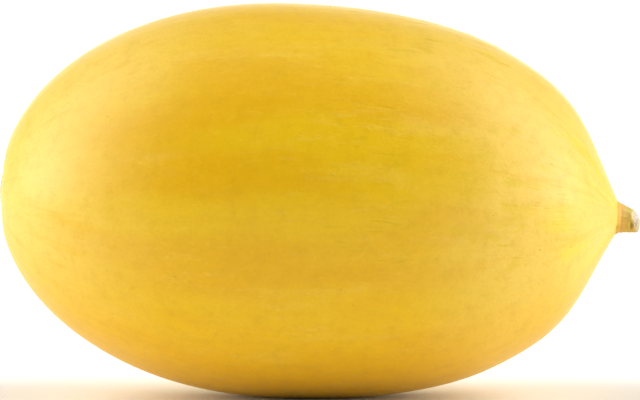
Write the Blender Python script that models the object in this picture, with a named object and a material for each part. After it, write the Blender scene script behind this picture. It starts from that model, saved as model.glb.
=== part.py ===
"""A whole yellow oblong melon lying on its side, with the short stub of stem that the knife left.

The fruit is one turned body. Its outline is three curved spans: the round blossom end, the long
shoulder, and the cone that runs in to the stem. It lies on a small flat spot, its stem end a little
low. The stub of stem is a piece of its own, a hair's breadth off the flat seat at the fruit's tip.

Metres, +Z up, +X towards the stem. The origin is on the table, under the middle of the whole melon.
"""

import math

import bmesh
import bpy
from mathutils import Matrix, Vector
from mathutils.geometry import interpolate_bezier

# The fruit, measured along its own axis from the blossom end
LENGTH = 0.230
RADIUS = 0.0735
WIDEST_AT = 0.465 * LENGTH
SHOULDER_AT = 0.81 * LENGTH
SHOULDER_RADIUS = 0.80 * RADIUS
SHOULDER_SLOPE = math.radians(27.2)
CONE_SLOPE = math.radians(61.5)
SEAT_RADIUS = 0.0064

# How far each end of each curved span pulls it along before it turns, as shares of the length
BLOSSOM_PULL = 0.179 * LENGTH
WIDEST_PULL_BACK = 0.264 * LENGTH
WIDEST_PULL_ON = 0.230 * LENGTH
SHOULDER_PULL_BACK = 0.016 * LENGTH
SHOULDER_PULL_ON = 0.147 * LENGTH
SEAT_PULL_BACK = 0.127 * LENGTH

# How the fruit lies: its axis dips towards the stem, and its own weight presses one spot flat
AXIS_DIP = math.radians(2.35)
REST_FLAT_DEPTH = 0.0005
NECK_FROM = 0.951 * LENGTH
NECK_DROP = 0.0009

# The stub of stem
GAP = 0.0003
STEM_LENGTH = 0.0095
STEM_BASE_RADIUS = 0.0061
STEM_TIP_RADIUS = 0.0038
STEM_DROOP = math.radians(12)
STEM_RIBS = 5
STEM_RIB_HEIGHT = 0.05
STEM_TAPER_POWER = 1.7
CUT_POINT = Vector((0.0068, 0.0, -0.0016))
CUT_NORMAL = Vector((0.87, -0.40, 0.28)).normalized()

# How finely the round pieces are divided
FRUIT_SIDES = 56
SPAN_POINTS = 14
STEM_SIDES = 30
STEM_RINGS = 7


def clear_scene():
    for old in list(bpy.data.objects):
        bpy.data.objects.remove(old, do_unlink=True)


def make_material(name, colour, roughness):
    material = bpy.data.materials.new(name)
    material.use_nodes = True
    shader = material.node_tree.nodes["Principled BSDF"]
    shader.inputs["Base Color"].default_value = (*colour, 1.0)
    shader.inputs["Roughness"].default_value = roughness
    shader.inputs["Metallic"].default_value = 0.0
    return material


def make_object(name, bm, material, parent):
    """Turns the finished bmesh into a smooth-shaded object under its parent."""
    bmesh.ops.recalc_face_normals(bm, faces=bm.faces)
    mesh = bpy.data.meshes.new(name)
    bm.to_mesh(mesh)
    bm.free()
    mesh.shade_smooth()
    mesh.set_sharp_from_angle(angle=math.radians(40))
    mesh.materials.append(material)
    obj = bpy.data.objects.new(name, mesh)
    obj.parent = parent
    bpy.context.scene.collection.objects.link(obj)
    return obj


def cut_flat(bm, point, normal):
    """Takes off what lies beyond the plane and closes the cut with one flat face."""
    everything = bm.verts[:] + bm.edges[:] + bm.faces[:]
    cut = bmesh.ops.bisect_plane(bm, geom=everything, plane_co=point, plane_no=normal, clear_outer=True)
    rim = [item for item in cut["geom_cut"] if isinstance(item, bmesh.types.BMEdge)]
    bmesh.ops.edgeloop_fill(bm, edges=rim)


def fruit_outline():
    """The points of the turned outline in the XZ plane, from the blossom end to the rim of the seat."""
    along_shoulder = Vector((math.cos(SHOULDER_SLOPE), 0, -math.sin(SHOULDER_SLOPE)))
    along_cone = Vector((math.cos(CONE_SLOPE), 0, -math.sin(CONE_SLOPE)))
    blossom = Vector((0, 0, 0))
    widest = Vector((WIDEST_AT, 0, RADIUS))
    shoulder = Vector((SHOULDER_AT, 0, SHOULDER_RADIUS))
    seat = Vector((LENGTH, 0, SEAT_RADIUS))
    up = Vector((0, 0, 1))
    on = Vector((1, 0, 0))
    spans = (
        (blossom, blossom + up * BLOSSOM_PULL, widest - on * WIDEST_PULL_BACK, widest),
        (widest, widest + on * WIDEST_PULL_ON, shoulder - along_shoulder * SHOULDER_PULL_BACK, shoulder),
        (shoulder, shoulder + along_shoulder * SHOULDER_PULL_ON, seat - along_cone * SEAT_PULL_BACK, seat),
    )
    points = [blossom]
    for span in spans:
        points += interpolate_bezier(*span, SPAN_POINTS)[1:]
    return points


def neck_drop(x):
    """How far the fruit's tip sags below its axis at x."""
    share = max(0.0, (x - NECK_FROM) / (LENGTH - NECK_FROM))
    return NECK_DROP * share**2


def build_fruit(material, parent):
    bm = bmesh.new()
    verts = [bm.verts.new(point) for point in fruit_outline()]
    edges = [bm.edges.new(pair) for pair in zip(verts, verts[1:])]
    bmesh.ops.spin(
        bm, geom=verts + edges, axis=(1, 0, 0), cent=(0, 0, 0), angle=math.tau, steps=FRUIT_SIDES, use_merge=True
    )
    bmesh.ops.remove_doubles(bm, verts=bm.verts, dist=1e-6)
    bmesh.ops.edgeloop_fill(bm, edges=[edge for edge in bm.edges if edge.is_boundary])
    for vert in bm.verts:
        vert.co.z -= neck_drop(vert.co.x)

    down = Matrix.Rotation(-AXIS_DIP, 3, "Y") @ Vector((0, 0, -1))
    lowest = max((vert.co for vert in bm.verts), key=lambda co: co.dot(down))
    cut_flat(bm, lowest - down * REST_FLAT_DEPTH, down)
    return make_object("fruit", bm, material, parent)


def stem_ring(bm, share):
    """One ribbed ring of the stem, share of the way from its base to its tip."""
    x = STEM_LENGTH * share
    narrowing = (1 - share) ** STEM_TAPER_POWER
    radius = STEM_TIP_RADIUS + (STEM_BASE_RADIUS - STEM_TIP_RADIUS) * narrowing
    ring = []
    for side in range(STEM_SIDES):
        angle = math.tau * side / STEM_SIDES
        reach = radius * (1 + STEM_RIB_HEIGHT * math.cos(STEM_RIBS * angle))
        y = reach * math.cos(angle)
        z = reach * math.sin(angle) - x * math.tan(STEM_DROOP)
        ring.append(bm.verts.new((x, y, z)))
    return ring


def build_stem(material, parent):
    bm = bmesh.new()
    rings = [stem_ring(bm, step / STEM_RINGS) for step in range(STEM_RINGS + 1)]
    for ring, following in zip(rings, rings[1:]):
        for side in range(STEM_SIDES):
            after = (side + 1) % STEM_SIDES
            bm.faces.new((ring[side], ring[after], following[after], following[side]))
    bm.faces.new(rings[0])
    bm.faces.new(rings[-1])
    cut_flat(bm, CUT_POINT, CUT_NORMAL)
    stem = make_object("stem", bm, material, parent)
    stem.location = (LENGTH + GAP, 0, -NECK_DROP)
    return stem


def set_on_table(lying, pieces):
    """Moves the parent so that the middle of the whole melon's underside is the origin."""
    bpy.context.view_layer.update()
    corners = [piece.matrix_world @ vert.co for piece in pieces for vert in piece.data.vertices]
    lowest = Vector(min(corner[i] for corner in corners) for i in range(3))
    highest = Vector(max(corner[i] for corner in corners) for i in range(3))
    middle = (lowest + highest) / 2
    lying.location = (-middle.x, -middle.y, -lowest.z)


def main():
    clear_scene()
    rind = make_material("rind", (0.79, 0.50, 0.05), 0.38)
    peduncle = make_material("peduncle", (0.42, 0.33, 0.13), 0.75)

    lying = bpy.data.objects.new("melon_lying", None)
    bpy.context.scene.collection.objects.link(lying)
    lying.rotation_euler = (0, AXIS_DIP, 0)

    fruit = build_fruit(rind, lying)
    stem = build_stem(peduncle, lying)
    set_on_table(lying, (fruit, stem))


main()
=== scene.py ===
# %% [markdown]
# # A whole yellow melon, from the fixed frame to the finished fruit
#
# This file is a lesson in cells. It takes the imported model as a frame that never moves, and builds the
# looks of a smooth yellow oblong melon round it: the rind, the marks on it, the scar at the blossom end
# and the cut stub of stem. Everything is in metres. The melon lies along X with its stem at +X.

# %% The frame
import math

import bmesh
import bpy
from mathutils import Euler, Matrix, Vector
from mathutils.geometry import interpolate_bezier


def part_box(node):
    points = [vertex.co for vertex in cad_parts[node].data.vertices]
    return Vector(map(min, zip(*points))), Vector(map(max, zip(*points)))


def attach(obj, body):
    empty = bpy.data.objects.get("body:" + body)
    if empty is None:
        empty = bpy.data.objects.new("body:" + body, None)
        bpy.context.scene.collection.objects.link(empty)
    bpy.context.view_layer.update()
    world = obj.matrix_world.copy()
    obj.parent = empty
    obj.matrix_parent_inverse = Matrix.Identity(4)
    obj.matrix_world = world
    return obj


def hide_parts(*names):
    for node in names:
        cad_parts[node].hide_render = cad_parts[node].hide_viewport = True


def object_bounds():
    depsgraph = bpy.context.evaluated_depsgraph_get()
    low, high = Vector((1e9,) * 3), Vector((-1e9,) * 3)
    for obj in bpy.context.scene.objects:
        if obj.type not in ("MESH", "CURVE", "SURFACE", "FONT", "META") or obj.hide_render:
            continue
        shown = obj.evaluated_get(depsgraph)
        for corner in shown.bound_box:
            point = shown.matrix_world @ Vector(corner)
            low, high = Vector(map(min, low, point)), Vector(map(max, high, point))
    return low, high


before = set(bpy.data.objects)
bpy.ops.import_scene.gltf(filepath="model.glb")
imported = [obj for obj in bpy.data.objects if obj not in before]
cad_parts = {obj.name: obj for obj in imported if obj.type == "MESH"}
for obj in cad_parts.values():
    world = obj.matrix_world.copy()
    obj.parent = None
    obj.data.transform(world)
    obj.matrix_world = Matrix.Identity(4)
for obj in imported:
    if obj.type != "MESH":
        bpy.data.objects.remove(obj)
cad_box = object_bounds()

MM = 0.001
BODY = "root"



def in_mm(place):
    """A place in millimetres, short enough to print."""
    return [round(number / MM, 1) for number in place]


fruit_low, fruit_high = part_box("fruit")
stem_low, stem_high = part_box("stem")
print("fruit from", in_mm(fruit_low), "to", in_mm(fruit_high), "mm")
print("stem from", in_mm(stem_low), "to", in_mm(stem_high), "mm")

# %% [markdown]
# ## Arithmetic on sockets
#
# Shader trees and geometry trees are both made of nodes, and a rule such as `1 - mask * 0.3` takes three
# of them. Wired by hand that is slow to write and slower to read. So one small class stands for an output
# socket and lets Python's own signs add the Math nodes. Vectors go through Vector Math instead, because a
# Math node would turn them into one number. Everything else comes from `add`, which takes the kind of
# node, its settings, and what goes into its sockets.

# %% A wire that can be added, multiplied and taken away
class Wire:
    """One output socket that Python's arithmetic works on."""

    def __init__(self, bench, socket):
        self.bench = bench
        self.socket = socket

    def maths(self, operation, first, second):
        settings = {"operation": operation}
        if "VECTOR" in (kind_of(first), kind_of(second)):
            return self.bench.add("ShaderNodeVectorMath", settings, [as_vector(first), as_vector(second)])
        return self.bench.add("ShaderNodeMath", settings, [first, second])

    def __add__(self, other):
        return self.maths("ADD", self, other)

    def __radd__(self, other):
        return self.maths("ADD", other, self)

    def __sub__(self, other):
        return self.maths("SUBTRACT", self, other)

    def __rsub__(self, other):
        return self.maths("SUBTRACT", other, self)

    def __mul__(self, other):
        return self.maths("MULTIPLY", self, other)

    def __rmul__(self, other):
        return self.maths("MULTIPLY", other, self)

    def __truediv__(self, other):
        return self.maths("DIVIDE", self, other)

    def __rtruediv__(self, other):
        return self.maths("DIVIDE", other, self)

    def __pow__(self, power):
        return self.maths("POWER", self, power)

    def __rpow__(self, base):
        return self.maths("POWER", base, self)

    def over(self, low, high):
        """0 below low, 1 above high, and a smooth rise between them. With low above high it falls."""
        settings = {"interpolation_type": "SMOOTHSTEP"}
        inputs = {"Value": self, "From Min": low, "From Max": high}
        return self.bench.add("ShaderNodeMapRange", settings, inputs)

    def most(self, other):
        """The larger of this and the other."""
        return self.maths("MAXIMUM", self, other)

    def sine(self):
        return self.bench.add("ShaderNodeMath", {"operation": "SINE"}, [self])

    def cosine(self):
        return self.bench.add("ShaderNodeMath", {"operation": "COSINE"}, [self])

    def parts(self):
        """The X, Y and Z of a vector, as three wires."""
        node = self.bench.node("ShaderNodeSeparateXYZ", {}, [self])
        return [Wire(self.bench, output) for output in node.outputs]


def kind_of(value):
    if isinstance(value, Wire):
        return "VECTOR" if value.socket.type in ("VECTOR", "RGBA") else "VALUE"
    return "VECTOR" if hasattr(value, "__len__") else "VALUE"


def as_vector(value):
    """A plain number becomes the same number three times, as Vector Math needs."""
    return (value, value, value) if isinstance(value, (int, float)) else value


def as_colour(value):
    """Three numbers become an opaque colour; a wire stays as it is."""
    return value if isinstance(value, Wire) else (*value, 1.0)


# %% A bench that nodes are put on
class Bench:
    """A node tree, and the one method that puts nodes on it."""

    def __init__(self, tree):
        self.tree = tree

    def node(self, kind, settings, inputs):
        node = self.tree.nodes.new(kind)
        for name, value in settings.items():
            if name == "stops":
                set_stops(node.color_ramp, value)
            else:
                setattr(node, name, value)
        named = inputs.items() if isinstance(inputs, dict) else enumerate(inputs)
        for name, value in named:
            socket = pick(node.inputs, name)
            if isinstance(value, Wire):
                self.tree.links.new(value.socket, socket)
            else:
                socket.default_value = value
        return node

    def add(self, kind, settings, inputs, output=None):
        node = self.node(kind, settings, inputs)
        if output is not None:
            return Wire(self, pick(node.outputs, output))
        return Wire(self, next(socket for socket in node.outputs if socket.enabled))

    def xyz(self, x, y, z):
        return self.add("ShaderNodeCombineXYZ", {}, [x, y, z])

    def mix(self, share, first, second):
        """The first colour where share is 0 and the second where it is 1."""
        settings = {"data_type": "RGBA", "clamp_factor": True}
        sides = {"A": as_colour(first), "B": as_colour(second)}
        return self.add("ShaderNodeMix", settings, {"Factor": share, **sides}, "Result")

    def noise(self, place, scale, detail=2.0, roughness=0.5, seed=0.0):
        """Soft noise about 0 to 1, with 0.5 in the middle."""
        shifted = place + (seed * 3.7, seed * 1.3, seed * 2.9) if seed else place
        inputs = {"Vector": shifted, "Scale": scale, "Detail": detail, "Roughness": roughness}
        return self.add("ShaderNodeTexNoise", {"noise_dimensions": "3D"}, inputs, 0)


def pick(sockets, name):
    """The enabled socket of that name or number: a Mix node has several called A."""
    if isinstance(name, int):
        return sockets[name]
    return next(socket for socket in sockets if socket.name == name and socket.enabled)


def set_stops(ramp, stops):
    """Gives a colour ramp these stops, each a place and a colour."""
    while len(ramp.elements) > 1:
        ramp.elements.remove(ramp.elements[-1])
    ramp.elements[0].position, ramp.elements[0].color = stops[0][0], (*stops[0][1], 1.0)
    for place, colour in stops[1:]:
        ramp.elements.new(place).color = (*colour, 1.0)


# %% [markdown]
# ## The outline of the fruit
#
# A melon is nearly a turned body, so its whole form is in one outline. Three curved spans draw it: the
# round blossom end, the long shoulder, and the cone that runs in to the stem. In Blender such an outline
# is a Bezier curve with four points, and the handles say how far each span pulls before it turns. A fifth
# point in the middle of the seat closes the form under the stem.

# %% The driving sizes
LENGTH = 230 * MM
RADIUS = (fruit_high.y - fruit_low.y) / 2
WIDEST_AT = 0.465 * LENGTH
SHOULDER_AT = 0.81 * LENGTH
SHOULDER_RADIUS = 0.80 * RADIUS
SHOULDER_SLOPE = math.radians(27.2)
CONE_SLOPE = math.radians(61.5)
SEAT_RADIUS = 6.4 * MM
AXIS_DIP = math.radians(2.35)
NECK_FROM = 0.951 * LENGTH
NECK_DROP = 0.9 * MM

ALONG_SHOULDER = Vector((math.cos(SHOULDER_SLOPE), 0, -math.sin(SHOULDER_SLOPE)))
ALONG_CONE = Vector((math.cos(CONE_SLOPE), 0, -math.sin(CONE_SLOPE)))
UP = Vector((0, 0, 1))
ON = Vector((1, 0, 0))

# How far each end of each curved span pulls it along before it turns
BLOSSOM_PULL = 0.179 * LENGTH
WIDEST_PULL_BACK = 0.264 * LENGTH
WIDEST_PULL_ON = 0.230 * LENGTH
SHOULDER_PULL_BACK = 0.016 * LENGTH
SHOULDER_PULL_ON = 0.147 * LENGTH
SEAT_PULL_BACK = 0.127 * LENGTH
ACROSS_SEAT = UP * SEAT_RADIUS / 3

# Each point of the outline: where it is, and its two handles as seen from there
OUTLINE = (
    (Vector((0, 0, 0)), -UP * BLOSSOM_PULL, UP * BLOSSOM_PULL),
    (Vector((WIDEST_AT, 0, RADIUS)), -ON * WIDEST_PULL_BACK, ON * WIDEST_PULL_ON),
    (Vector((SHOULDER_AT, 0, SHOULDER_RADIUS)), -ALONG_SHOULDER * SHOULDER_PULL_BACK,
     ALONG_SHOULDER * SHOULDER_PULL_ON),
    (Vector((LENGTH, 0, SEAT_RADIUS)), -ALONG_CONE * SEAT_PULL_BACK, -ACROSS_SEAT),
    (Vector((LENGTH, 0, 0)), ACROSS_SEAT, -ACROSS_SEAT),
)
CURVE_STEPS = 120
LYING_STEPS = 60
print("the outline has", len(OUTLINE), "points and is", round(LENGTH / MM), "mm long")

# %% The outline as a curve, and where it lies
def outline_object():
    """The outline as a Bezier curve object, for the geometry nodes to turn."""
    curve = bpy.data.curves.new("outline", "CURVE")
    curve.dimensions = "3D"
    curve.resolution_u = CURVE_STEPS
    spline = curve.splines.new("BEZIER")
    spline.bezier_points.add(len(OUTLINE) - 1)
    for point, (place, back, on) in zip(spline.bezier_points, OUTLINE):
        point.handle_left_type = point.handle_right_type = "FREE"
        point.co = place
        point.handle_left = place + back
        point.handle_right = place + on
    obj = bpy.data.objects.new("outline", curve)
    bpy.context.scene.collection.objects.link(obj)
    return obj


def where_it_lies():
    """The move that takes the fruit's own axis to where the frame's fruit lies."""
    turn = Matrix.Rotation(AXIS_DIP, 4, "Y")
    points = []
    for (start, _, on), (end, back, _) in zip(OUTLINE, OUTLINE[1:]):
        points += interpolate_bezier(start, start + on, end + back, end, LYING_STEPS)
    turned = [turn @ point for point in points]
    return Vector((fruit_low.x - min(p.x for p in turned), 0, fruit_high.z - max(p.z for p in turned)))


PLACE = where_it_lies()
LYING = Matrix.Translation(PLACE) @ Matrix.Rotation(AXIS_DIP, 4, "Y")
print("the blossom end is at", in_mm(PLACE), "mm")

# %% [markdown]
# ## Turning the outline with Geometry Nodes
#
# A grid of rings and sides is bent into the fruit: one way across the grid runs along the outline, the
# other way goes once round the axis. Each point keeps an attribute called `flow`, which holds how far
# along the fruit it is and which way round it faces. Streaks, furrows and creases all follow the fruit
# from end to end, so they are noise that is read in `flow` and not in plain space, and the ends where
# everything runs together come out right without any further work.
#
# The noise lifts and lowers the surface itself: broad lumps a few centimetres across, faint lengthwise
# furrows, and short creases that crowd towards the stem, where the rind shrank a little as it ripened.

# %% A geometry-node tree with named inputs, and the object that wears it
def start_tree(name, inputs):
    """A new tree with an input for each name, and the wires that come out of them."""
    tree = bpy.data.node_groups.new(name, "GeometryNodeTree")
    for label, kind in inputs.items():
        tree.interface.new_socket(name=label, in_out="INPUT", socket_type="NodeSocket" + kind)
    tree.interface.new_socket(name="Geometry", in_out="OUTPUT", socket_type="NodeSocketGeometry")
    bench = Bench(tree)
    group = tree.nodes.new("NodeGroupInput")
    return bench, {label: Wire(bench, group.outputs[label]) for label in inputs}


def end_tree(bench, geometry, material):
    """Ends a tree as the export needs it: real meshes, shaded smooth, with their material."""
    real = bench.add("GeometryNodeRealizeInstances", {}, [geometry])
    smooth = bench.add("GeometryNodeSetShadeSmooth", {}, [real])
    painted = bench.add("GeometryNodeSetMaterial", {}, {"Geometry": smooth, "Material": material})
    out = bench.tree.nodes.new("NodeGroupOutput")
    bench.tree.links.new(painted.socket, out.inputs[0])


def read_flow(bench):
    """The attribute that says how far along the fruit a point is, and which way round it faces."""
    settings = {"data_type": "FLOAT_VECTOR"}
    return bench.add("GeometryNodeInputNamedAttribute", settings, {"Name": "flow"}, "Attribute")


def keep_one_material(mesh):
    """Leaves out the empty slot that the seed object's own empty mesh brings along."""
    material = next(material for material in mesh.materials if material)
    mesh.materials.clear()
    mesh.materials.append(material)
    mesh.polygons.foreach_set("material_index", [0] * len(mesh.polygons))


def grow(name, tree, values):
    """Runs the tree with these values and returns the plain mesh object that it makes."""
    seed_object = bpy.data.objects.new(name + "_seed", bpy.data.meshes.new(name + "_seed"))
    bpy.context.scene.collection.objects.link(seed_object)
    modifier = seed_object.modifiers.new(name, "NODES")
    modifier.node_group = tree
    for item in tree.interface.items_tree:
        if item.in_out == "INPUT" and item.name in values:
            modifier[item.identifier] = values[item.name]
    graph = bpy.context.evaluated_depsgraph_get()
    mesh = bpy.data.meshes.new_from_object(seed_object.evaluated_get(graph), depsgraph=graph)
    bpy.data.objects.remove(seed_object)
    keep_one_material(mesh)
    mesh.name = name
    obj = bpy.data.objects.new(name, mesh)
    bpy.context.scene.collection.objects.link(obj)
    triangles = sum(len(polygon.vertices) - 2 for polygon in mesh.polygons)
    print(name, "has", triangles, "triangles")
    return obj


# %% The rind's tree
OUTLINE_SAMPLES = 1200
MERGE_WITHIN = 0.001 * MM


def rind_tree():
    bench, given = start_tree("turned_rind", {
        "Outline": "Object", "Rings": "Int", "Sides": "Int", "Crowding": "Float", "Length": "Float",
        "Neck From": "Float", "Neck Drop": "Float", "Lump Height": "Float", "Furrow Depth": "Float",
        "Crease Depth": "Float", "Dimple Depth": "Float", "Turn": "Vector", "Place": "Vector",
        "Material": "Material",
    })
    add = bench.add
    grid = bench.node("GeometryNodeMeshGrid", {}, [1.0, 1.0, given["Rings"], given["Sides"]])
    sheet = Wire(bench, grid.outputs["Mesh"])
    laid_flat = Wire(bench, grid.outputs["UV Map"])
    along, around, _ = laid_flat.parts()

    share = along + given["Crowding"] * along * (1 - along)
    drawn = add("GeometryNodeObjectInfo", {}, {"Object": given["Outline"]}, "Geometry")
    fine = add("GeometryNodeResampleCurve", {}, {"Curve": drawn, "Count": OUTLINE_SAMPLES})
    sample = add("GeometryNodeSampleCurve", {}, {"Curves": fine, "Factor": share}, "Position")
    x, _, reach = sample.parts()
    angle = around * -math.tau
    side, under = angle.sine(), angle.cosine()
    into_neck = ((x - given["Neck From"]) / (given["Length"] - given["Neck From"])).most(0.0)
    drop = given["Neck Drop"] * into_neck ** 2
    turned = bench.xyz(x, reach * side, -1 * (reach * under) - drop)

    mesh = add("GeometryNodeStoreNamedAttribute", {"data_type": "FLOAT2", "domain": "CORNER"},
               {"Geometry": sheet, "Name": "OFBake", "Value": laid_flat}, "Geometry")
    mesh = add("GeometryNodeStoreNamedAttribute", {"data_type": "FLOAT_VECTOR", "domain": "POINT"},
               {"Geometry": mesh, "Name": "flow", "Value": bench.xyz(x, side, under)}, "Geometry")
    mesh = add("GeometryNodeSetPosition", {}, {"Geometry": mesh, "Position": turned})
    mesh = add("GeometryNodeMergeByDistance", {}, {"Geometry": mesh, "Distance": MERGE_WITHIN})

    normal = add("GeometryNodeInputNormal", {}, [])
    position = add("GeometryNodeInputPosition", {}, [])
    flow = read_flow(bench)
    s, side_at, under_at = flow.parts()
    lumps = (bench.noise(position, 13.0, 1.5) - 0.5) * 2 * given["Lump Height"]
    furrows = (bench.noise(flow * (6.0, 2.6, 2.6), 1.0, 2.0, 0.5, 2.0) - 0.5) * 2 * given["Furrow Depth"]
    near_stem = s.over(0.50 * LENGTH, 0.97 * LENGTH)
    weathered = (side_at * -0.75 - under_at * 0.65).over(0.0, 0.8) * 0.85 + 0.15
    short = bench.noise(flow * (80.0, 10.0, 10.0), 1.0, 1.0, 0.5, 5.0)
    wide = bench.noise(flow * (40.0, 4.0, 4.0), 1.0, 1.0, 0.5, 9.0)
    at_cone = s.over(0.80 * LENGTH, 0.93 * LENGTH)
    crease = (0.47 - short).most(0.0) * 6 * near_stem * weathered * (1 - at_cone * 0.9)
    crease = crease + (0.47 - wide).most(0.0) * 6 * at_cone
    dimple = s.over(3 * MM, 0.1 * MM) * given["Dimple Depth"]
    seat = s.over(LENGTH - 0.9 * MM, LENGTH - 0.1 * MM)
    lumps = lumps * s.over(0, 45 * MM)
    lift = (lumps + furrows - crease * given["Crease Depth"] - dimple) * (1 - seat)
    mesh = add("GeometryNodeStoreNamedAttribute", {"data_type": "FLOAT", "domain": "POINT"},
               {"Geometry": mesh, "Name": "crease", "Value": crease}, "Geometry")
    mesh = add("GeometryNodeSetPosition", {}, {"Geometry": mesh, "Offset": normal * lift})

    laid = add("GeometryNodeTransform", {},
               {"Geometry": mesh, "Rotation": given["Turn"], "Translation": given["Place"]})
    px, py, pz = add("GeometryNodeInputPosition", {}, []).parts()
    on_table = bench.xyz(px, py, pz.most(0.0))
    resting = add("GeometryNodeSetPosition", {}, {"Geometry": laid, "Position": on_table})
    end_tree(bench, resting, given["Material"])
    return bench.tree


# %% [markdown]
# ## The rind's finish
#
# The skin of this melon is one golden yellow that drifts: more orange in broad lengthwise bands, paler
# where it was scuffed, and cream on the spot that lay on the ground. It is more lemon towards both ends and
# along the top, partly the rind's own colour and partly painted highlight where the lights fall brightest.
# It is a deeper orange underneath, which is painted shade, and the creases and nicks short of the stem's
# cone are darker and greener, partly the rind's own colour and partly painted shade in the hollows. Over
# that come thin streaks from end to end and a fine grain of about a millimetre. A painted picture would
# stretch at the ends, so every pattern is noise read in `flow`, or in plain space where the detail has no
# direction. The same noises also tilt the surface a little through a Bump node, whose height is in metres.

# %% The colours of the rind
GOLD = (0.795, 0.488, 0.005)
AMBER = (0.775, 0.425, 0.003)
LEMON = (0.820, 0.560, 0.100)
SCUFFED = (0.860, 0.580, 0.110)
CREAM = (0.860, 0.660, 0.240)
UNDERSIDE_SHADE_ORANGE = (0.850, 0.480, 0.003)
CREASED = (0.840, 0.580, 0.020)
WRINKLED_AND_SHADED = (0.690, 0.470, 0.008)
PITTED = (0.700, 0.410, 0.006)
RUBBED = (0.850, 0.545, 0.035)
STEM_SIDE = (0.860, 0.580, 0.120)

# %% Starting a material, and feeding its shader
def start_material(name, roughness, **plain):
    """A material with one Principled shader, its bench, and the shader."""
    material = bpy.data.materials.new(name)
    material.use_nodes = True
    shader = material.node_tree.nodes["Principled BSDF"]
    shader.inputs["Roughness"].default_value = roughness
    for socket, value in plain.items():
        shader.inputs[socket.replace("_", " ")].default_value = value
    return material, Bench(material.node_tree), shader


def connect(bench, wire, socket):
    bench.tree.links.new(wire.socket, socket)


def bumped(bench, shader, height):
    """Feeds the shader's normal from a height in metres."""
    normal = bench.add("ShaderNodeBump", {}, {"Strength": 1.0, "Distance": 1.0, "Height": height})
    connect(bench, normal, shader.inputs["Normal"])


# %% The rind's material
def rind_material():
    material, bench, shader = start_material("melon_rind", 0.40, Specular_IOR_Level=0.24)
    add = bench.add
    flow = add("ShaderNodeAttribute", {"attribute_name": "flow"}, {}, "Vector")
    crease = add("ShaderNodeAttribute", {"attribute_name": "crease"}, {}, "Fac")
    place = add("ShaderNodeTexCoord", {}, {}, "Object")
    along, side, under = flow.parts()

    bands = bench.noise(flow * (11.0, 3.4, 3.4), 1.0, 2.0, 0.5, 34.0)
    streaks = bench.noise(flow * (24.0, 9.0, 9.0), 1.0, 3.0, 0.6, 8.0)
    threads = bench.noise(flow * (70.0, 38.0, 38.0), 1.0, 2.0, 0.6, 3.0)
    nicks = bench.noise(flow * (120.0, 36.0, 36.0), 1.0, 1.0, 0.5, 7.0)
    patches = bench.noise(place, 22.0, 3.0, 0.55, 33.0)
    mottle = bench.noise(place, 210.0, 3.0, 0.6, 5.0)
    grain = bench.noise(place, 850.0, 2.0, 0.6, 6.0)
    flecks = bench.noise(place * (0.55, 1.0, 1.0), 560.0, 2.0, 0.6, 12.0)
    pores = bench.noise(place, 640.0, 1.0, 0.5, 14.0)

    to_blossom = along.over(85 * MM, -10 * MM)
    to_stem = along.over(125 * MM, LENGTH)
    at_seat = along.over(LENGTH - 9 * MM, LENGTH - 1 * MM)
    painted_top_light = under.over(-0.45, -1.0)
    painted_underside_shade = under.over(0.35, 0.95)
    weathered = (side * -0.75 - under * 0.65).over(0.0, 0.8) * along.over(95 * MM, 175 * MM)
    ground = (under * 0.91 + side * 0.41 + (patches - 0.5) * 0.10).over(0.93, 0.99)
    ground = ground * along.over(45 * MM, 75 * MM) * along.over(185 * MM, 150 * MM)
    nicked = weathered * patches.over(0.40, 0.58) * along.over(215 * MM, 195 * MM)
    nick = (0.39 - nicks).most(0.0) * 10 * nicked

    # lemon towards both ends and along the top: partly the rind's own paler colour, partly painted
    # highlight where the lights fall brightest
    lemon_and_painted_highlight = to_blossom.most(to_stem) + painted_top_light * 0.35 + (patches - 0.5) * 0.5
    colour = bench.mix(bands.over(0.36, 0.60), AMBER, GOLD)
    colour = bench.mix(lemon_and_painted_highlight.over(0.0, 0.9), colour, LEMON)
    # painted shade: the underside is made a deeper orange for the shade that falls under the fruit
    colour = bench.mix(painted_underside_shade * 0.6, colour, UNDERSIDE_SHADE_ORANGE)
    colour = bench.mix(streaks.over(0.54, 0.74) * 0.25, colour, SCUFFED)
    colour = bench.mix(streaks.over(0.46, 0.28) * 0.40, colour, AMBER)
    colour = bench.mix(threads.over(0.56, 0.75) * 0.16 * patches.over(0.4, 0.6), colour, SCUFFED)
    colour = bench.mix(mottle.over(0.50, 0.30) * 0.20, colour, PITTED)
    rubbed = streaks.over(0.46, 0.66) * patches.over(0.38, 0.56)
    colour = bench.mix(flecks.over(0.54, 0.68) * (0.12 + rubbed * 0.45), colour, RUBBED)
    colour = bench.mix(pores.over(0.37, 0.26) * 0.28, colour, PITTED)
    colour = bench.mix(ground * 0.85, colour, CREAM)
    colour = bench.mix(at_seat * 0.5, colour, STEM_SIDE)
    # darker, greener colour in the creases and nicks short of the stem's cone: partly the rind's own
    # colour, partly painted shade in the hollows
    fold = bench.mix(along.over(185 * MM, 205 * MM), WRINKLED_AND_SHADED, CREASED)
    colour = bench.mix((crease + nick).over(0.05, 0.8) * 0.5, colour, fold)
    colour = colour * (1 + (grain - 0.5) * (0.10, 0.13, 0.20) + (mottle - 0.5) * (0.10, 0.14, 0.15))
    connect(bench, colour, shader.inputs["Base Color"])

    waxy = 0.37 + (mottle - 0.5) * 0.16 + (streaks - 0.5) * 0.10 + ground * 0.10
    connect(bench, waxy, shader.inputs["Roughness"])

    height = grain * (0.028 * MM) + mottle * (0.07 * MM) + threads * (0.03 * MM) + streaks * (0.12 * MM)
    height = height - nick * (0.16 * MM) + flecks.over(0.50, 0.70) * (0.03 * MM)
    bumped(bench, shader, height)
    return material


# %% Growing the rind
RIND_RINGS = 340
RIND_SIDES = 289

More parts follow.
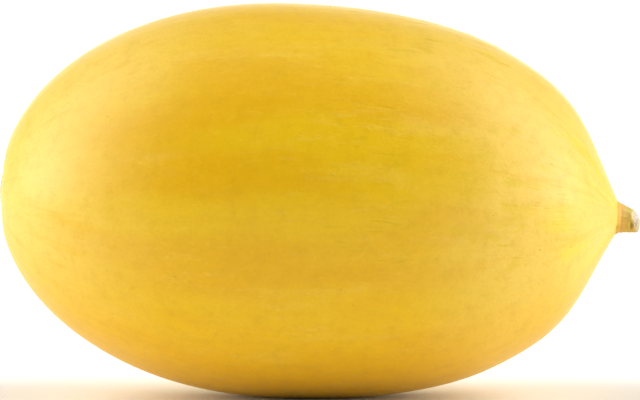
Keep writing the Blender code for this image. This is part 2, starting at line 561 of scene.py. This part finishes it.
outline = outline_object()
rind = grow("rind", rind_tree(), {
    "Outline": outline, "Rings": RIND_RINGS, "Sides": RIND_SIDES, "Crowding": 0.35, "Length": LENGTH,
    "Neck From": NECK_FROM, "Neck Drop": NECK_DROP, "Lump Height": 0.5 * MM, "Furrow Depth": 0.3 * MM,
    "Crease Depth": 0.30 * MM, "Dimple Depth": 0.9 * MM, "Turn": (0, AXIS_DIP, 0), "Place": PLACE,
    "Material": rind_material(),
})
bpy.data.objects.remove(outline)


def settle(piece):
    """The calls that every finished piece needs: all of this melon is in one body."""
    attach(piece, BODY)


settle(rind)
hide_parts("fruit")

# %% [markdown]
# ## Marks that follow the skin
#
# Two kinds of small mark sit on the rind: lenticels, the dark corky specks through which the fruit
# breathed, and healed hairlines, thin raised dashes that run lengthwise and are thick near the stem. Both
# repeat and both follow the surface, so Geometry Nodes scatter points over the rind, turn a small form to
# face along the skin at each point, and roughen it so that no two are alike. The seeds are fixed.

# %% Scattering marks over the rind
def marks_tree():
    bench, given = start_tree("marks", {
        "Skin": "Object", "Density": "Float", "Stem Density": "Float", "Seed": "Int", "Length": "Float",
        "Width": "Float", "Height": "Float", "Material": "Material",
    })
    add = bench.add
    skin = add("GeometryNodeObjectInfo", {}, {"Object": given["Skin"]}, "Geometry")
    along, _, _ = read_flow(bench).parts()
    _, _, height = add("GeometryNodeInputPosition", {}, []).parts()
    near_stem = along.over(0.62 * LENGTH, 0.93 * LENGTH) * along.over(LENGTH - 3 * MM, LENGTH - 9 * MM)
    off_table = height.over(3 * MM, 8 * MM)
    density = (given["Density"] + given["Stem Density"] * near_stem) * off_table
    spread = bench.node("GeometryNodeDistributePointsOnFaces", {"distribute_method": "RANDOM"},
                        {"Mesh": skin, "Density": density, "Seed": given["Seed"]})
    points = Wire(bench, spread.outputs["Points"])
    facing = Wire(bench, spread.outputs["Normal"])

    form = add("GeometryNodeMeshUVSphere", {}, {"Segments": 10, "Rings": 6, "Radius": 0.5}, "Mesh")
    upright = add("FunctionNodeAlignRotationToVector", {"axis": "Z"}, {"Vector": facing})
    lengthwise = add("FunctionNodeAlignRotationToVector", {"axis": "X", "pivot_axis": "Z"},
                     {"Rotation": upright, "Vector": AXIS})
    plain = {"data_type": "FLOAT"}
    longer = add("FunctionNodeRandomValue", plain, {"Min": 0.45, "Max": 1.6, "ID": 1, "Seed": 3}, "Value")
    wider = add("FunctionNodeRandomValue", plain, {"Min": 0.6, "Max": 1.4, "Seed": 7}, "Value")
    size = bench.xyz(given["Length"] * longer, given["Width"] * wider, given["Height"] * wider)
    placed = add("GeometryNodeInstanceOnPoints", {},
                 {"Points": points, "Instance": form, "Rotation": lengthwise, "Scale": size})
    real = add("GeometryNodeRealizeInstances", {}, [placed])
    position = add("GeometryNodeInputPosition", {}, [])
    wobble = add("ShaderNodeTexNoise", {}, {"Vector": position, "Scale": 1500.0, "Detail": 1.0}, "Color")
    shaken = (wobble - 0.5) * given["Width"] * 0.5
    rough = add("GeometryNodeSetPosition", {}, {"Geometry": real, "Offset": shaken})
    end_tree(bench, rough, given["Material"])
    return bench.tree


# %% The finish of the marks
AXIS = Matrix.Rotation(AXIS_DIP, 3, "Y") @ ON
LENTICEL_DARK = (0.42, 0.230, 0.015)
LENTICEL_PALE = (0.62, 0.36, 0.05)
HEALED_DARK = (0.74, 0.43, 0.01)
HEALED_PALE = (0.82, 0.52, 0.05)


def cork_material(name, dark, pale, roughness):
    """Dry corky skin: two browns in patches under a millimetre across."""
    material, bench, shader = start_material(name, roughness)
    place = bench.add("ShaderNodeTexCoord", {}, {}, "Object")
    patches = bench.noise(place, 1400.0, 2.0, 0.6, 1.0)
    connect(bench, bench.mix(patches.over(0.35, 0.65), dark, pale), shader.inputs["Base Color"])
    bumped(bench, shader, patches * (0.03 * MM))
    return material


# %% Growing the marks
marks = marks_tree()
lenticels = grow("lenticels", marks, {
    "Skin": rind, "Density": 600.0, "Stem Density": 900.0, "Seed": 4, "Length": 0.50 * MM,
    "Width": 0.38 * MM, "Height": 0.16 * MM,
    "Material": cork_material("lenticel", LENTICEL_DARK, LENTICEL_PALE, 0.7),
})
hairlines = grow("hairlines", marks, {
    "Skin": rind, "Density": 500.0, "Stem Density": 4500.0, "Seed": 11, "Length": 3.6 * MM,
    "Width": 0.40 * MM, "Height": 0.08 * MM,
    "Material": cork_material("hairline", HEALED_DARK, HEALED_PALE, 0.55),
})
for piece in (lenticels, hairlines):
    settle(piece)


# %% [markdown]
# ## The blossom scar
#
# Where the flower dropped, at the end away from the stem, there is a corky button with rings round it and
# fine cracks across it. It is a disc of rings and sides that Geometry Nodes drop on the rind along the
# fruit's axis, so that it hugs whatever the rind does there, and then raise by the rings' own profile.
# Its rim sinks into the skin, so no edge shows.

# %% The scar's tree
def scar_tree():
    bench, given = start_tree("blossom_scar", {
        "Skin": "Object", "Rings": "Int", "Sides": "Int", "Radius": "Float", "Height": "Float",
        "From": "Vector", "Way": "Vector", "Across": "Vector", "Up": "Vector", "Material": "Material",
    })
    add = bench.add
    grid = bench.node("GeometryNodeMeshGrid", {}, [1.0, 1.0, given["Rings"], given["Sides"]])
    out, around, _ = Wire(bench, grid.outputs["UV Map"]).parts()
    angle = around * -math.tau
    wander = bench.noise(bench.xyz(angle.cosine(), angle.sine(), 0.0), 1.6, 2.0)
    reach = out * given["Radius"] * (0.72 + wander * 0.56)
    across = angle.cosine() * reach
    up = angle.sine() * reach
    start = given["From"] + given["Across"] * across + given["Up"] * up
    skin = add("GeometryNodeObjectInfo", {}, {"Object": given["Skin"]}, "Geometry")
    ray = bench.node("GeometryNodeRaycast", {}, {"Target Geometry": skin, "Source Position": start,
                                                 "Ray Direction": given["Way"], "Ray Length": 0.1})
    hit = Wire(bench, pick(ray.outputs, "Hit Position"))
    facing = Wire(bench, pick(ray.outputs, "Hit Normal"))
    ripple = (out * 26.0 + wander * 5.0).sine()
    crumbs = bench.noise(hit, 1300.0, 2.0, 0.6)
    rise = 0.62 + ripple * 0.20 + (crumbs - 0.5) * 0.9 - out.over(0.30, 0.0) * 0.08
    lift = given["Height"] * (rise * out.over(1.0, 0.80) - out.over(0.86, 1.0) * 0.6)
    mesh = add("GeometryNodeStoreNamedAttribute", {"data_type": "FLOAT", "domain": "POINT"},
               {"Geometry": Wire(bench, grid.outputs["Mesh"]), "Name": "out", "Value": out}, "Geometry")
    mesh = add("GeometryNodeSetPosition", {}, {"Geometry": mesh, "Position": hit + facing * lift})
    mesh = add("GeometryNodeMergeByDistance", {}, {"Geometry": mesh, "Distance": MERGE_WITHIN})
    end_tree(bench, mesh, given["Material"])
    return bench.tree


# %% The scar's material
SCAR_DARK = (0.26, 0.150, 0.050)
SCAR_PALE = (0.60, 0.420, 0.180)
SCAR_HEART = (0.10, 0.055, 0.020)


def scar_material():
    material, bench, shader = start_material("blossom_scar", 0.75)
    out = bench.add("ShaderNodeAttribute", {"attribute_name": "out"}, {}, "Fac")
    place = bench.add("ShaderNodeTexCoord", {}, {}, "Object")
    crumbs = bench.noise(place, 1300.0, 3.0, 0.6)
    broad = bench.noise(place, 300.0, 2.0, 0.6, 2.0)
    colour = bench.mix((crumbs * 0.6 + broad * 0.4).over(0.36, 0.62), SCAR_DARK, SCAR_PALE)
    colour = bench.mix(out.over(0.26, 0.08), colour, SCAR_HEART)
    colour = bench.mix((out + (broad - 0.5) * 0.5).over(0.66, 0.95), colour, LEMON)
    connect(bench, colour, shader.inputs["Base Color"])
    bumped(bench, shader, crumbs * (0.08 * MM))
    return material


# %% Growing the scar
scar_from = LYING @ Vector((-20 * MM, 0, 0))
upward = Matrix.Rotation(AXIS_DIP, 3, "Y") @ UP
scar = grow("blossom_scar", scar_tree(), {
    "Skin": rind, "Rings": 40, "Sides": 121, "Radius": 6.5 * MM, "Height": 0.35 * MM, "From": scar_from,
    "Way": AXIS, "Across": (0, 1, 0), "Up": upward, "Material": scar_material(),
})
settle(scar)

# %% [markdown]
# ## The stub of stem
#
# The knife left a stub as long as it is thick. It is flared where it grows out of the fruit, ribbed, and
# cut on a slant, with a pale corky face. Its skin is a sheet of rings and sides, as on the fruit, but each
# side ends where it meets the slanted cut, so this is plain Python: for each side the length to the cut
# is found by halving, the rings are shared out along it, and the face's own rings go on from the rim to
# the middle. An attribute tells the material where on the stem each point is.

# %% The sizes of the stem
STEM_LENGTH = 9.5 * MM
STEM_BASE_RADIUS = 6.1 * MM
STEM_TIP_RADIUS = 3.8 * MM
STEM_DROOP = math.tan(math.radians(12))
STEM_SUNK = 0.7 * MM
CUT_POINT = Vector((7.8 * MM, 0, -2.0 * MM))
CUT_NORMAL = Vector((0.94, -0.32, 0.06)).normalized()
STEM_SIDES = 240
SKIN_RINGS = 70
FACE_RINGS = 44
HALVINGS = 24
SEAT = LYING @ Matrix.Translation((LENGTH, 0, -NECK_DROP))
print("the stem grows out at", in_mm(SEAT.translation), "mm")

# %% The skin of the stem
def waves(angle, *kinds):
    """A sum of waves round the stem: each kind is how many, how high, and where it starts."""
    return sum(high * math.cos(many * angle + start) for many, high, start in kinds)


def stem_radius(x, angle):
    """How far the stem's skin is from its centre line at x."""
    share = min(max(x / STEM_LENGTH, 0.0), 1.0)
    plain = STEM_TIP_RADIUS + (STEM_BASE_RADIUS - STEM_TIP_RADIUS) * (1 - share) ** 1.7
    grown = min(share * 5, 1.0)
    ribs = waves(angle, (5, 0.045, 0.0), (10, 0.012, 1.0)) * (0.3 + 0.7 * grown)
    grooves = waves(angle, (23, 0.006, x * 300), (37, 0.004, 2 - x * 200), (61, 0.003, 1.0)) * grown
    flare = 0.9 * MM * math.exp(-max(x, 0) / (1.1 * MM)) * (0.5 - 0.5 * math.sin(angle))
    collar = 0.16 * MM * math.exp(-((x - 1.5 * MM) / (0.45 * MM)) ** 2)
    swelling = 0.22 * MM * math.exp(-((x - 5.4 * MM) / (1.1 * MM)) ** 2)
    swelling *= 0.6 + 0.4 * math.cos(angle * 2 + 1)
    return plain * (1 + ribs + grooves) + flare * 0.75 - collar + swelling


def skin_point(x, angle):
    """A point of the plain skin, before the pit and the lip."""
    reach = stem_radius(x, angle)
    return Vector((x, reach * math.cos(angle), reach * math.sin(angle) - x * STEM_DROOP))


# %% Where the cut and the pit are
def length_to_cut(angle):
    """Where along x this side of the stem meets the cut, found by halving."""
    near, far = 0.0, STEM_LENGTH * 1.2
    for _ in range(HALVINGS):
        middle = (near + far) / 2
        if (skin_point(middle, angle) - CUT_POINT).dot(CUT_NORMAL) > 0:
            far = middle
        else:
            near = middle
    return near


PIT_AT = (5.5 * MM, math.radians(205))


def pit_share(x, angle):
    """1 in the dark crevice under the lip of the cut, 0 away from it."""
    across = (x - PIT_AT[0]) / (0.60 * MM)
    round_it = (angle - PIT_AT[1]) / math.radians(19)
    return math.exp(-(across**2) - round_it**2)


# %% The points of the stem's skin and of its cut face
def round_the_stem():
    """The angle of each side of the stem, in turn."""
    return [math.tau * side / STEM_SIDES for side in range(STEM_SIDES)]


def skin_place(x, end, angle):
    """A point of the skin, pulled in by the pit and the worn edge, and out by the lip of the cut."""
    to_cut = (end - x) / MM
    inward = Vector((0, -math.cos(angle), -math.sin(angle)))
    lip = 0.14 * MM * math.exp(-((to_cut - 0.9) / 0.45) ** 2)
    rounding = 0.35 * MM + 1.1 * MM * max(0.0, math.sin(angle)) ** 1.5
    worn = rounding * max(0.0, 1 - to_cut / 1.9) ** 2
    return skin_point(x, angle) + inward * (pit_share(x, angle) * 0.8 * MM + worn - lip)


def bared_share(x, end, angle):
    """How far the cork shows through the skin, on the upper side just before the cut."""
    return max(0.0, math.sin(angle)) ** 0.5 * max(0.0, 1 - (end - x) / (1.5 * MM))


def face_lift(share, angle):
    """How far the cut face stands out at this share of the way from its middle to its rim."""
    rolled = 0.18 * MM * math.exp(-((share - 0.90) / 0.07) ** 2)
    bundles = 0.15 * MM * math.exp(-((share - 0.62) / 0.10) ** 2) * max(0, math.cos(9 * angle + 0.5))
    hollow = 0.55 * MM * max(0.0, 1 - share / 0.45) ** 1.5
    cracks = 0.07 * MM * max(0, math.cos(31 * angle + 3 * math.sin(5 * angle))) * share
    lump = 0.14 * MM * math.sin(7 * share + 2 * math.sin(angle * 3)) * (1 - share)
    lump += 0.60 * MM * (1 - share**2) * (0.7 - 0.1 * math.sin(angle))
    return rolled + bundles + lump - hollow - cracks


# %% The mesh of the stem
def stem_mesh():
    """The places, what the material is told at each of them, and the faces."""
    angles = round_the_stem()
    ends = [length_to_cut(angle) for angle in angles]
    places, marks_of = [], []
    for ring in range(SKIN_RINGS + 1):
        for angle, end in zip(angles, ends):
            x = -STEM_SUNK + (end + STEM_SUNK) * ring / SKIN_RINGS
            places.append(skin_place(x, end, angle))
            marks_of.append((x / STEM_LENGTH, 0.035 * bared_share(x, end, angle), pit_share(x, angle)))
    rim = places[-STEM_SIDES:]
    centre = sum(rim, Vector()) / STEM_SIDES
    for ring in range(1, FACE_RINGS + 1):
        share = 1 - ring / FACE_RINGS
        for angle, edge in zip(angles, rim):
            places.append(centre.lerp(edge, share) + CUT_NORMAL * face_lift(share, angle))
            marks_of.append((1.0, 1 - share, 0.0))
    return places, marks_of, stem_faces(SKIN_RINGS + FACE_RINGS)


def stem_faces(bands):
    """Four-sided faces between each ring and the next, and one that closes the hidden end."""
    faces = []
    for band in range(bands):
        here, there = band * STEM_SIDES, (band + 1) * STEM_SIDES
        for side in range(STEM_SIDES):
            after = (side + 1) % STEM_SIDES
            faces.append((here + side, here + after, there + after, there + side))
    faces.append(tuple(reversed(range(STEM_SIDES))))
    return faces


# %% The stem as an object
def build_stem(material):
    places, marks_of, faces = stem_mesh()
    mesh = bpy.data.meshes.new("stem_stub")
    mesh.from_pydata([SEAT @ place for place in places], [], faces)
    attribute = mesh.attributes.new("stem_map", "FLOAT_VECTOR", "POINT")
    attribute.data.foreach_set("vector", [number for mark in marks_of for number in mark])
    work = bmesh.new()
    work.from_mesh(mesh)
    bmesh.ops.remove_doubles(work, verts=work.verts, dist=MERGE_WITHIN)
    bmesh.ops.recalc_face_normals(work, faces=work.faces)
    work.to_mesh(mesh)
    work.free()
    mesh.shade_smooth()
    mesh.materials.append(material)
    obj = bpy.data.objects.new("stem_stub", mesh)
    bpy.context.scene.collection.objects.link(obj)
    print("the stem has", sum(len(p.vertices) - 2 for p in mesh.polygons), "triangles")
    return obj


# %% The stem's material
def stem_material():
    """Orange where it leaves the fruit, peach, then olive yellow, with a pale corky face. Its top is
    painted highlight, and its lower side, the face's lower part and the crevice under the cut's lip are
    painted shade.
    """
    material, bench, shader = start_material("stem_skin", 0.55)
    where = bench.add("ShaderNodeAttribute", {"attribute_name": "stem_map"}, {}, "Vector")
    place = bench.add("ShaderNodeTexCoord", {}, {}, "Object")
    along, face, pit = where.parts()
    fibres = bench.noise(place * (0.22, 1.0, 1.0), 1900.0, 3.0, 0.6)
    crumbs = bench.noise(place, 1500.0, 3.0, 0.6, 2.0)
    broad = bench.noise(place, 380.0, 2.0, 0.5, 3.0)
    stops = [(0.0, (0.84, 0.47, 0.035)), (0.10, (0.80, 0.43, 0.030)), (0.20, (0.80, 0.46, 0.110)),
             (0.32, (0.70, 0.43, 0.070)), (0.50, (0.62, 0.42, 0.055)), (0.72, (0.62, 0.43, 0.080)),
             (0.92, (0.76, 0.58, 0.260))]
    skin = bench.add("ShaderNodeValToRGB", {"stops": stops}, {"Fac": along + (broad - 0.5) * 0.16}, "Color")
    skin = bench.mix(fibres.over(0.50, 0.30) * 0.35 * along.over(0.1, 0.3), skin, (0.45, 0.27, 0.03))
    skin = bench.mix(fibres.over(0.58, 0.74) * 0.35 * along.over(0.2, 0.4), skin, (0.86, 0.70, 0.28))
    _, _, height = place.parts()
    # painted shade and painted highlight: the stem's lower side is made darker orange and its top paler
    low = (height + (broad - 0.5) * (3 * MM)).over(67.5 * MM, 63.0 * MM)
    high = height.over(66.0 * MM, 69.5 * MM) * along.over(0.2, 0.5)
    skin = bench.mix(low * 0.45, skin, (0.62, 0.36, 0.008))
    skin = bench.mix(high * 0.45, skin, (0.72, 0.62, 0.16))
    # painted shade: the crevice under the lip of the cut is painted dark
    skin = bench.mix(pit.over(0.10, 0.75), skin, (0.34, 0.20, 0.012))
    cork = bench.mix(crumbs.over(0.32, 0.56), (0.44, 0.33, 0.22), (0.66, 0.56, 0.46))
    cork = bench.mix(face.over(0.15, 0.7) * 0.6, cork, (0.72, 0.66, 0.60))
    # painted shade: the lower part of the cut face is made darker
    cork = bench.mix(low * 0.75, cork, (0.48, 0.36, 0.13))
    cork = bench.mix((broad + face * 0.35).over(0.66, 0.86), cork, (0.27, 0.25, 0.11))
    cork = bench.mix(face.over(0.16, 0.02) * broad.over(0.35, 0.6), cork, (0.66, 0.50, 0.26))
    colour = bench.mix(face.over(0.004, 0.02), skin, cork)
    connect(bench, colour, shader.inputs["Base Color"])
    bumped(bench, shader, fibres * (0.05 * MM) + crumbs * face.over(0.0, 0.05) * (0.12 * MM))
    return material


# %% Building the stem
stem = build_stem(stem_material())
settle(stem)
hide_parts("stem")

# %% [markdown]
# ## The table, the light and the camera
#
# The melon lies on a plain white table under soft lights. The two brightest stand at its ends, so that
# both ends glow and the middle, which faces the camera, stays deep gold. Two half as bright hang over the
# ends, and a weaker one stands behind. Each light is a soft patch of the sky: how bright the sky is in a
# direction depends only on how nearly that direction points to the middle of the patch, so the whole
# studio is one short sum. The camera stands a little over the table and looks straight across the fruit.

# %% The table
FLOOR_REACH = 60
FLOOR_WHITE = 0.95

corners = [(-1, -1), (1, -1), (1, 1), (-1, 1)]
floor_mesh = bpy.data.meshes.new("floor")
floor_mesh.from_pydata([(x * FLOOR_REACH, y * FLOOR_REACH, 0) for x, y in corners], [], [(0, 1, 2, 3)])
floor = bpy.data.objects.new("floor", floor_mesh)
bpy.context.scene.collection.objects.link(floor)
floor_material, _, floor_shader = start_material("floor", 0.6, Specular_IOR_Level=0.0)
floor_shader.inputs["Base Color"].default_value = (FLOOR_WHITE, FLOOR_WHITE, FLOOR_WHITE, 1)
floor_mesh.materials.append(floor_material)
print("the table reaches", FLOOR_REACH, "m each way")

# %% The light
SOFT_LIGHTS = (  # which way it is, and how bright it is
    ((-1, 0, 0), 9),
    ((1, 0, 0), 9),
    ((-1, 0, 1), 4.5),
    ((1, 0, 1), 4.5),
    ((0, 1, 0), 3),
)
NARROWNESS = 12
FILL = 0.02

scene = bpy.context.scene
scene.view_settings.view_transform = "Standard"
scene.view_settings.look = "None"

world = bpy.data.worlds.new("studio")
scene.world = world
world.use_nodes = True
sky = Bench(world.node_tree)
way = sky.add("ShaderNodeTexCoord", {}, {}, "Generated")
light = FILL
for towards, bright in SOFT_LIGHTS:
    middle_of_it = tuple(Vector(towards).normalized())
    facing = sky.add("ShaderNodeVectorMath", {"operation": "DOT_PRODUCT"}, [way, middle_of_it], "Value")
    light = light + facing.most(0.0) ** NARROWNESS * bright
print(len(SOFT_LIGHTS), "soft lights, and a fill of", FILL)
connect(sky, light, world.node_tree.nodes["Background"].inputs["Strength"])
world.node_tree.nodes["Background"].inputs["Color"].default_value = (1, 1, 1, 1)

# %% The camera
DISTANCE = 1.5
ELEVATION = math.radians(3)
FRAME_WIDTH = 238.4 * MM

camera_data = bpy.data.cameras.new("camera")
camera = bpy.data.objects.new("camera", camera_data)
scene.collection.objects.link(camera)
middle = (cad_box[0] + cad_box[1]) / 2
camera.location = middle + Vector((0, -math.cos(ELEVATION), math.sin(ELEVATION))) * DISTANCE
camera.rotation_euler = Euler((math.radians(90) - ELEVATION, 0, 0))
camera_data.sensor_width = 36
camera_data.lens = camera_data.sensor_width * DISTANCE / FRAME_WIDTH
scene.camera = camera
print("the camera's lens is", round(camera_data.lens, 1), "mm and it stands", DISTANCE, "m away")
